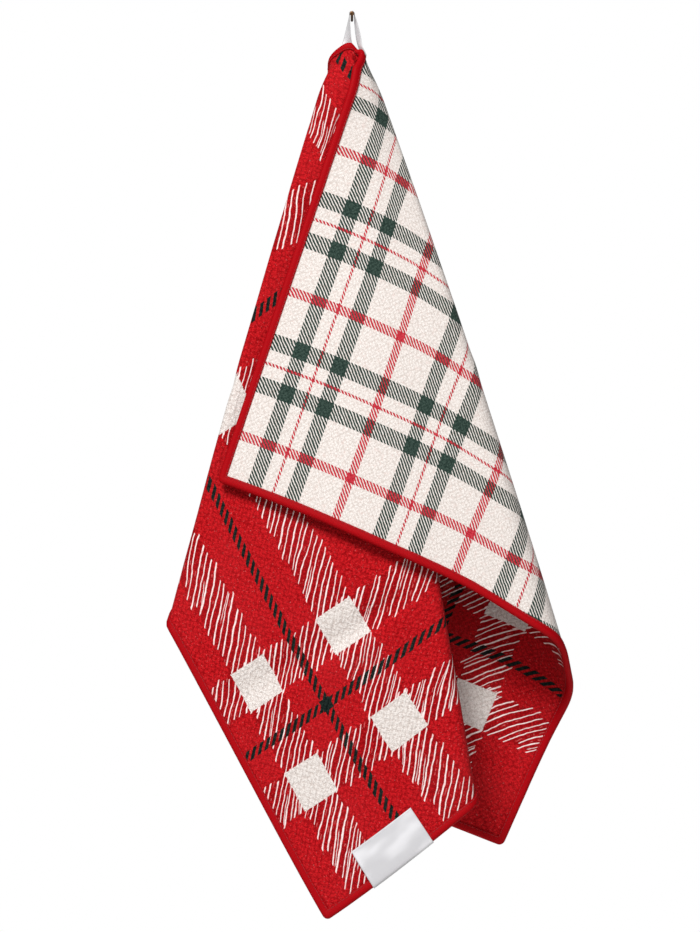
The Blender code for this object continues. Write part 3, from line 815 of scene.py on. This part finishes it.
def blend(tree, share, first, second):
    """One colour turning into another where the share is 1: sockets, or colours as a screen shows them."""
    node = tree.nodes.new("ShaderNodeMix")
    node.data_type = "RGBA"
    set_or_link(tree, node.inputs["Factor"], share)
    for socket, value in ((node.inputs[6], first), (node.inputs[7], second)):
        if isinstance(value, bpy.types.NodeSocket):
            tree.links.new(value, socket)
        else:
            socket.default_value = dye(value)
    return node.outputs[2]


def bare_material(name, **settings):
    """A material with its node tree and its shader, which has the plain settings given."""
    mat = bpy.data.materials.new(name)
    mat.use_nodes = True
    shader = mat.node_tree.nodes["Principled BSDF"]
    for key, value in settings.items():
        shader.inputs[key.replace("_", " ")].default_value = value
    return mat, mat.node_tree, shader


def flat_material(name, **settings):
    """A bare material, and the flat place on the piece that its patterns follow."""
    mat, tree, shader = bare_material(name, **settings)
    flat = tree.nodes.new("ShaderNodeUVMap")
    flat.uv_map = "flat"
    apart = tree.nodes.new("ShaderNodeSeparateXYZ")
    tree.links.new(flat.outputs["UV"], apart.inputs["Vector"])
    return mat, tree, shader, Term(tree, apart.outputs["X"]), Term(tree, apart.outputs["Y"])


def finish_surface(tree, shader, colour, height):
    """Feed a colour to the shader, and a height in metres to its normal."""
    tree.links.new(colour, shader.inputs["Base Color"])
    bump = tree.nodes.new("ShaderNodeBump")
    bump.inputs["Distance"].default_value = 1.0
    tree.links.new(height.socket, bump.inputs["Height"])
    tree.links.new(bump.outputs["Normal"], shader.inputs["Normal"])


def new_group(name, inputs, outputs):
    """An empty node group with named sockets; returns it, its inputs as Terms, and its output node."""
    group = bpy.data.node_groups.new(name, "ShaderNodeTree")
    for way, keys in (("INPUT", inputs), ("OUTPUT", outputs)):
        for key in keys:
            group.interface.new_socket(name=key, in_out=way, socket_type="NodeSocketFloat")
    start = group.nodes.new("NodeGroupInput")
    end = group.nodes.new("NodeGroupOutput")
    return group, {key: Term(group, start.outputs[key]) for key in inputs}, end


def use_group(tree, group, **values):
    """Place a node group in a material with its own values; returns its outputs as Terms."""
    node = tree.nodes.new("ShaderNodeGroup")
    node.node_tree = group
    for key, value in values.items():
        set_or_link(tree, node.inputs[key], value)
    return {socket.name: Term(tree, socket) for socket in node.outputs}


def cotton_group():
    """Thick woven cotton: small raised cells in slanting rows, with the grain of the yarn over them, and a
    colour share that is painted shade, darker in the hollows between the cells, mixed with the grain's own
    tone.
    """
    group, value, end = new_group("woven_cotton", ("Across", "Down", "Cell", "Depth"), ("Height", "PaintedShadeAndGrain"))
    across, down, cell = value["Across"], value["Down"], value["Cell"]
    cells = group.nodes.new("ShaderNodeTexVoronoi")
    cells.voronoi_dimensions = "2D"
    cells.inputs["Scale"].default_value = 1.0
    cells.inputs["Randomness"].default_value = 0.55
    slant = (across + down) * SLANT / cell
    along = (across - down) * SLANT / cell
    group.links.new(pair(group, slant, along * 0.85), cells.inputs["Vector"])
    dome = Term(group, cells.outputs["Distance"]) * -1.6 + 0.6
    grain = cloudy(group, across, down, 1150.0, 2.0, 0.6) - 0.5
    curl = cloudy(group, slant * 0.9, along * 2.2, 1.3, 2.0, 0.6) - 0.5
    raised = dome * 1.3 + grain * 2.0 + curl * 1.4
    set_or_link(group, end.inputs["Height"], raised * value["Depth"])
    # Painted shade: the colour share drops where the cells' domes sink, and the yarn's grain adds random
    # tone.
    set_or_link(group, end.inputs["PaintedShadeAndGrain"], dome * 0.42 + grain * 1.4 + curl * 0.8 + 0.48)
    return group


def band_group():
    """Hatching in one band: slanted threads, each with its own width, ends and wander, and bits between."""
    group, value, end = new_group(
        "slanted_threads", ("Across", "Down", "Off", "Half", "Band"), ("Thread", "Bits", "Band")
    )
    slant = (value["Across"] + value["Down"]) * SLANT
    along = (value["Across"] - value["Down"]) * SLANT
    off, half, band = value["Off"], value["Half"], value["Band"]
    past_band = off.abs() - half
    wander = (cloudy(group, slant * 90.0, along * 38.0, 1.0, 1.5) - 0.5) * THREAD_WANDER
    wander = wander + (cloudy(group, slant * 300.0, along * 240.0, 1.0, 1.0) - 0.5) * THREAD_SHAKE
    place = (slant + wander) / THREAD_STEP
    number = place.floor()
    own = chance(group, number, band)
    shift = chance(group, number, band + 53.0) - 0.5
    sway = (chance(group, number, band + 29.0) - 0.5) * off / half * THREAD_SWAY
    from_thread = (place.fract() - 0.5 + shift * THREAD_UNEVEN) * THREAD_STEP + sway
    side = off.rising(-SHARP, SHARP)
    end_shift = (chance(group, number + side * 31.0, band + 17.0) - 0.5) * THREAD_RAGGED
    past = (past_band - end_shift).most(0.0) * SLANT_LONG
    away = (from_thread * from_thread + past * past).sum("SQRT")
    thread = (away - (own * 0.5 + 0.75) * THREAD_HALF).rising(-THREAD_SOFT, THREAD_SOFT, 1.0, 0.0)
    # Between some threads a finer one runs askew from one end and stops short, and bits of yarn show.
    place = place + 0.5
    number = place.floor()
    from_middle = (place.fract() - 0.5) * THREAD_STEP
    askew = chance(group, number, band + 71.0) - 0.5
    from_askew = from_middle + off / half * askew * THREAD_ASKEW
    near_end = (off * askew.sum("SIGN") / half).rising(-0.05, 0.15, 1.0, 0.0)
    there = chance(group, number, band + 37.0).rising(FINE_THREADS, FINE_THREADS + 0.01, 1.0, 0.0)
    there = there * near_end * past_band.rising(-0.0012, -0.0004, 1.0, 0.0)
    fine = (from_askew.abs() - THREAD_HALF * 0.62).rising(-THREAD_SOFT, THREAD_SOFT, 1.0, 0.0) * there
    broken = cloudy(group, along * 170.0, number * 3.7).rising(0.60, 0.66)
    inside = past_band.rising(-0.0010, 0.0, 1.0, 0.0)
    set_or_link(group, end.inputs["Thread"], thread.most(fine * 0.85))
    set_or_link(group, end.inputs["Bits"], from_middle.within(0.00020) * broken * inside)
    set_or_link(group, end.inputs["Band"], inside)
    return group


def off_stripe(place, start, repeat):
    """Distance from the nearest of a row of repeated stripes, and the number of that stripe."""
    turns = (place - start) / repeat + 0.5
    return (turns.fract() - 0.5) * repeat, turns.floor()


def dashes(tree, across, down, off):
    """Slanted dashes along a stripe, each a little different."""
    turns = (across + down) / DASH_STEP
    number = turns.floor()
    own = chance(tree, number, 5.0)
    from_dash = (turns.fract() - 0.5) * (DASH_STEP * SLANT)
    rough = (cloudy(tree, across, down, 1300.0, 1.0) - 0.5) * 0.0006
    long = (off + rough).within(own * 0.0004 + DASH_REACH - 0.0002)
    return (from_dash + rough).within(own * 0.0001 + DASH_HALF, 0.00014) * long


def red_face_material(cotton):
    """The red face: dashed stripes, bands of slanted threads, and white squares where the bands cross."""
    mat, tree, shader, across, down = flat_material(
        "red_face", Roughness=0.9, Sheen_Weight=0.02, Sheen_Roughness=0.4, Specular_IOR_Level=0.08
    )
    weave = use_group(tree, cotton, Across=across, Down=down, Cell=0.0025, Depth=0.00014)
    stripes = [off_stripe(*way) for way in zip((across, down), RED_START, RED_REPEAT)]
    threads = band_group()
    bands = []
    for (off, stripe), half in zip(stripes, BAND_HALF):
        side = off.rising(-SHARP, SHARP)
        bands.append(use_group(
            tree, threads, Across=across, Down=down, Off=off.abs() - BAND_AWAY, Half=half,
            Band=stripe * 2.0 + side + half * 1000.0,
        ))
    thread, bits, banded = (bands[0][mask].most(bands[1][mask]) for mask in ("Thread", "Bits", "Band"))
    (off_across, _), (off_down, _) = stripes
    rough = (cloudy(tree, across, down, 900.0, 1.0) - 0.5) * 0.0009
    square = (off_across.abs() - BAND_AWAY + rough).within(BAND_HALF[0])
    square = square * (off_down.abs() - BAND_AWAY + rough).within(BAND_HALF[1])
    dash = dashes(tree, across, down, off_across).most(dashes(tree, across, down, off_down))
    crossing = (off_across + rough).within(CROSSING_HALF) * (off_down + rough).within(CROSSING_HALF)
    speck = cloudy(tree, across, down, 620.0, 2.0, 0.7).rising(0.68, 0.74)
    faded = cloudy(tree, across, down, 22.0)

    # The weave's painted shade, darker in the hollows between its cells, sets the tone of the ground, the
    # white squares and the dashes; inside the bands the ground is painted darker still, as shade beside the
    # raised threads.
    shade = weave["PaintedShadeAndGrain"] - banded * 0.22
    colour = blend(tree, shade.rising(0.05, 0.95), (138, 2, 8), (206, 26, 33))
    colour = blend(tree, faded.rising(0.35, 0.75) * 0.14, colour, (190, 40, 46))
    colour = blend(tree, speck * 0.45, colour, (222, 118, 116))
    colour = blend(tree, bits * 0.6, colour, (222, 120, 118))
    pinkish = cloudy(tree, across, down, 240.0).rising(0.40, 0.75) * 0.6
    wool = blend(tree, pinkish, (250, 234, 231), (234, 170, 168))
    colour = blend(tree, thread, colour, wool)
    white = blend(tree, weave["PaintedShadeAndGrain"].rising(0.0, 0.9), (204, 191, 184), (244, 237, 232))
    colour = blend(tree, square, colour, white)
    dark = blend(tree, weave["PaintedShadeAndGrain"].rising(0.1, 0.9), (6, 16, 15), (34, 46, 42))
    colour = blend(tree, dash.most(crossing), colour, dark)
    height = weave["Height"] * (square * 0.8 + 1.0) + thread * 0.00010 + square * 0.00008 + dash * 0.00006
    finish_surface(tree, shader, colour, height)
    return mat


def check_stripes(place, way):
    """Masks of the check's red and green stripes along one way of the cloth: 0 across, 1 down."""
    masks = []
    for _, across, down, width in CHECK_STRIPES:
        off, _ = off_stripe(place, (across, down)[way], CHECK_REPEAT)
        masks.append(off.within(width / 2, THREAD_SOFT))
    return masks[0].most(masks[1]), masks[2].most(masks[3])


def white_face_material(cotton):
    """The white face: a green and red check woven in twill, solid where two like stripes cross."""
    mat, tree, shader, across, down = flat_material(
        "white_face", Roughness=0.90, Sheen_Weight=0.08, Sheen_Roughness=0.4, Specular_IOR_Level=0.15
    )
    weave = use_group(tree, cotton, Across=across, Down=down, Cell=0.0021, Depth=0.00009)
    wobble = (cloudy(tree, across, down, 260.0) - 0.5) * 0.0009
    twill = ((across - down) * SLANT + wobble) / TWILL_STEP
    rib = (twill.fract() - 0.5).abs()
    ribs = (rib.rising(0.15, 0.22), rib.rising(0.28, 0.35, 1.0, 0.0))
    from_corner = across * -1.0 + CLOTH_LONG / 2

    # The weave's painted shade, darker in the hollows between its cells, sets the tone of the ground and of
    # the check's yarns.
    shade = weave["PaintedShadeAndGrain"].rising(0.1, 0.9)
    ground = blend(tree, shade, (208, 197, 190), (243, 236, 231))
    blot = cloudy(tree, across, down, 300.0, 3.0, 0.6)
    colour = blend(tree, blot.rising(0.56, 0.72) * 0.35, ground, (222, 196, 188))
    green = blend(tree, shade, (26, 44, 38), (62, 80, 72))
    red = blend(tree, shade, (168, 26, 42), (206, 62, 74))
    for place, way in ((down, 1), (from_corner, 0)):
        reds, greens = check_stripes(place, way)
        yarn = blend(tree, reds, green, red)
        colour = blend(tree, reds.most(greens) * ribs[way], colour, yarn)
    finish_surface(tree, shader, colour, weave["Height"] + ribs[0] * 0.00004)
    return mat


def tape_material():
    """Crimson binding tape: a fine slanted rib, with grain and slow patches of an even shade."""
    mat, tree, shader, along, around = flat_material("crimson_tape", Roughness=0.6, Specular_IOR_Level=0.08)
    rib = ((along + around * 1.2) * (2 * pi / 0.0013)).sine()
    grain = cloudy(tree, along, around, 1500.0, 2.0, 0.6) - 0.5
    slow = cloudy(tree, along, around, 60.0)
    shade = rib * 0.18 + grain * 0.9 + 0.5
    colour = blend(tree, shade.rising(0.0, 1.0), (138, 0, 6), (186, 0, 15))
    colour = blend(tree, slow.rising(0.4, 0.8) * 0.25, colour, (164, 0, 9))
    finish_surface(tree, shader, colour, rib * 0.00003 + grain * 0.00008)
    return mat


def thread_material(name, low, high):
    """Sewing thread, with its twist."""
    mat, tree, shader, along, around = flat_material(name, Roughness=0.6, Sheen_Weight=0.1)
    twist = ((along + around * 1.5) * (2 * pi / 0.0006)).sine()
    colour = blend(tree, twist.rising(-1.0, 1.0), low, high)
    finish_surface(tree, shader, colour, twist * 0.00002)
    return mat


def satin_material(name, low, high, alpha=1.0):
    """White satin: fine yarns along it, with soft streaks; below an alpha of 1 it is sheer in places."""
    mat, tree, shader, along, across = flat_material(name, Roughness=0.42, Sheen_Weight=0.15)
    yarn = cloudy(tree, along * 30.0, across * 2400.0) - 0.5
    streak = cloudy(tree, along * 30.0, across * 60.0)
    colour = blend(tree, streak.rising(0.35, 0.7), low, high)
    finish_surface(tree, shader, colour, yarn * 0.00003)
    if alpha < 1.0:
        tree.links.new(streak.rising(0.3, 0.7, alpha, alpha + 0.3).socket, shader.inputs["Alpha"])
    return mat


def bronze_material():
    """Bronze-coloured nail, rubbed brighter in patches and darker in others."""
    mat, tree, shader = bare_material("bronze_nail", Metallic=1.0)
    place = tree.nodes.new("ShaderNodeTexCoord")
    patch = tree.nodes.new("ShaderNodeTexNoise")
    patch.inputs["Scale"].default_value = 1400.0
    tree.links.new(place.outputs["Object"], patch.inputs["Vector"])
    worn = Term(tree, patch.outputs["Fac"])
    colour = blend(tree, worn.rising(0.35, 0.7), (70, 50, 36), (150, 112, 78))
    tree.links.new(worn.rising(0.3, 0.7, 0.25, 0.5).socket, shader.inputs["Roughness"])
    finish_surface(tree, shader, colour, worn * 0.00004)
    return mat


# ---- room, light and camera


def make_floor():
    """A plain pale floor below the towel."""
    bm = bmesh.new()
    bmesh.ops.create_grid(bm, x_segments=2, y_segments=2, size=FLOOR_SIZE)
    bmesh.ops.translate(bm, verts=bm.verts, vec=FLOOR_PLACE)
    pale, _, _ = bare_material("pale_floor", Base_Color=dye((236, 235, 233)), Roughness=0.9)
    placed(bm, "floor", pale)


def soft_box(name, place, size, power):
    """A square area light pointed at the middle of the towel."""
    light = bpy.data.lights.new(name, "AREA")
    light.size = size
    light.energy = power
    ob = bpy.data.objects.new(name, light)
    ob.location = place
    ob.rotation_euler = (Vector(TOWEL_MIDDLE) - Vector(place)).to_track_quat("-Z", "Y").to_euler()
    bpy.context.scene.collection.objects.link(ob)


def light_room():
    """A white room whose light on the towel is weaker than it looks, and two soft boxes in front."""
    world = bpy.data.worlds.new("white_room")
    bpy.context.scene.world = world
    world.use_nodes = True
    tree = world.node_tree
    tree.nodes.clear()
    kinds = ("OutputWorld", "MixShader", "LightPath")
    out, mix, path = (tree.nodes.new("ShaderNode" + kind) for kind in kinds)
    for k, strength in ((1, ROOM_LIGHT), (2, 1.0)):
        back = tree.nodes.new("ShaderNodeBackground")
        back.inputs["Color"].default_value = (1.0, 1.0, 1.0, 1.0)
        back.inputs["Strength"].default_value = strength
        tree.links.new(back.outputs[0], mix.inputs[k])
    tree.links.new(path.outputs["Is Camera Ray"], mix.inputs[0])
    tree.links.new(mix.outputs[0], out.inputs["Surface"])
    for box in SOFT_BOXES:
        soft_box(*box)
    bpy.context.scene.view_settings.view_transform = "Standard"


def set_camera():
    """A level camera in front of the towel."""
    camera = bpy.data.cameras.new("camera")
    camera.sensor_fit = "HORIZONTAL"
    camera.sensor_width = SENSOR_WIDE
    camera.lens = SENSOR_WIDE * LENS_REACH
    ob = bpy.data.objects.new("camera", camera)
    ob.location = CAMERA_PLACE
    ob.rotation_euler = (pi / 2, 0.0, 0.0)
    bpy.context.scene.collection.objects.link(ob)
    bpy.context.scene.camera = ob


def main():
    set_camera()
    light_room()
    make_floor()
    cotton = cotton_group()
    tape = tape_material()
    red_thread = thread_material("red_thread", (120, 2, 10), (178, 10, 26))
    white_thread = thread_material("white_thread", (200, 200, 202), (240, 240, 242))
    satin = satin_material("label_satin", (200, 199, 202), (226, 225, 228))
    sheer = satin_material("sheer_ribbon", (214, 212, 214), (248, 247, 248), alpha=0.62)

    towel = make_towel(red_face_material(cotton), white_face_material(cotton))
    binding = make_binding(tape)
    stitches = make_binding_stitches(red_thread)
    label, label_stitches = make_label(satin, white_thread)
    ribbon = make_ribbon(sheer)
    nail = make_nail(bronze_material())


main()
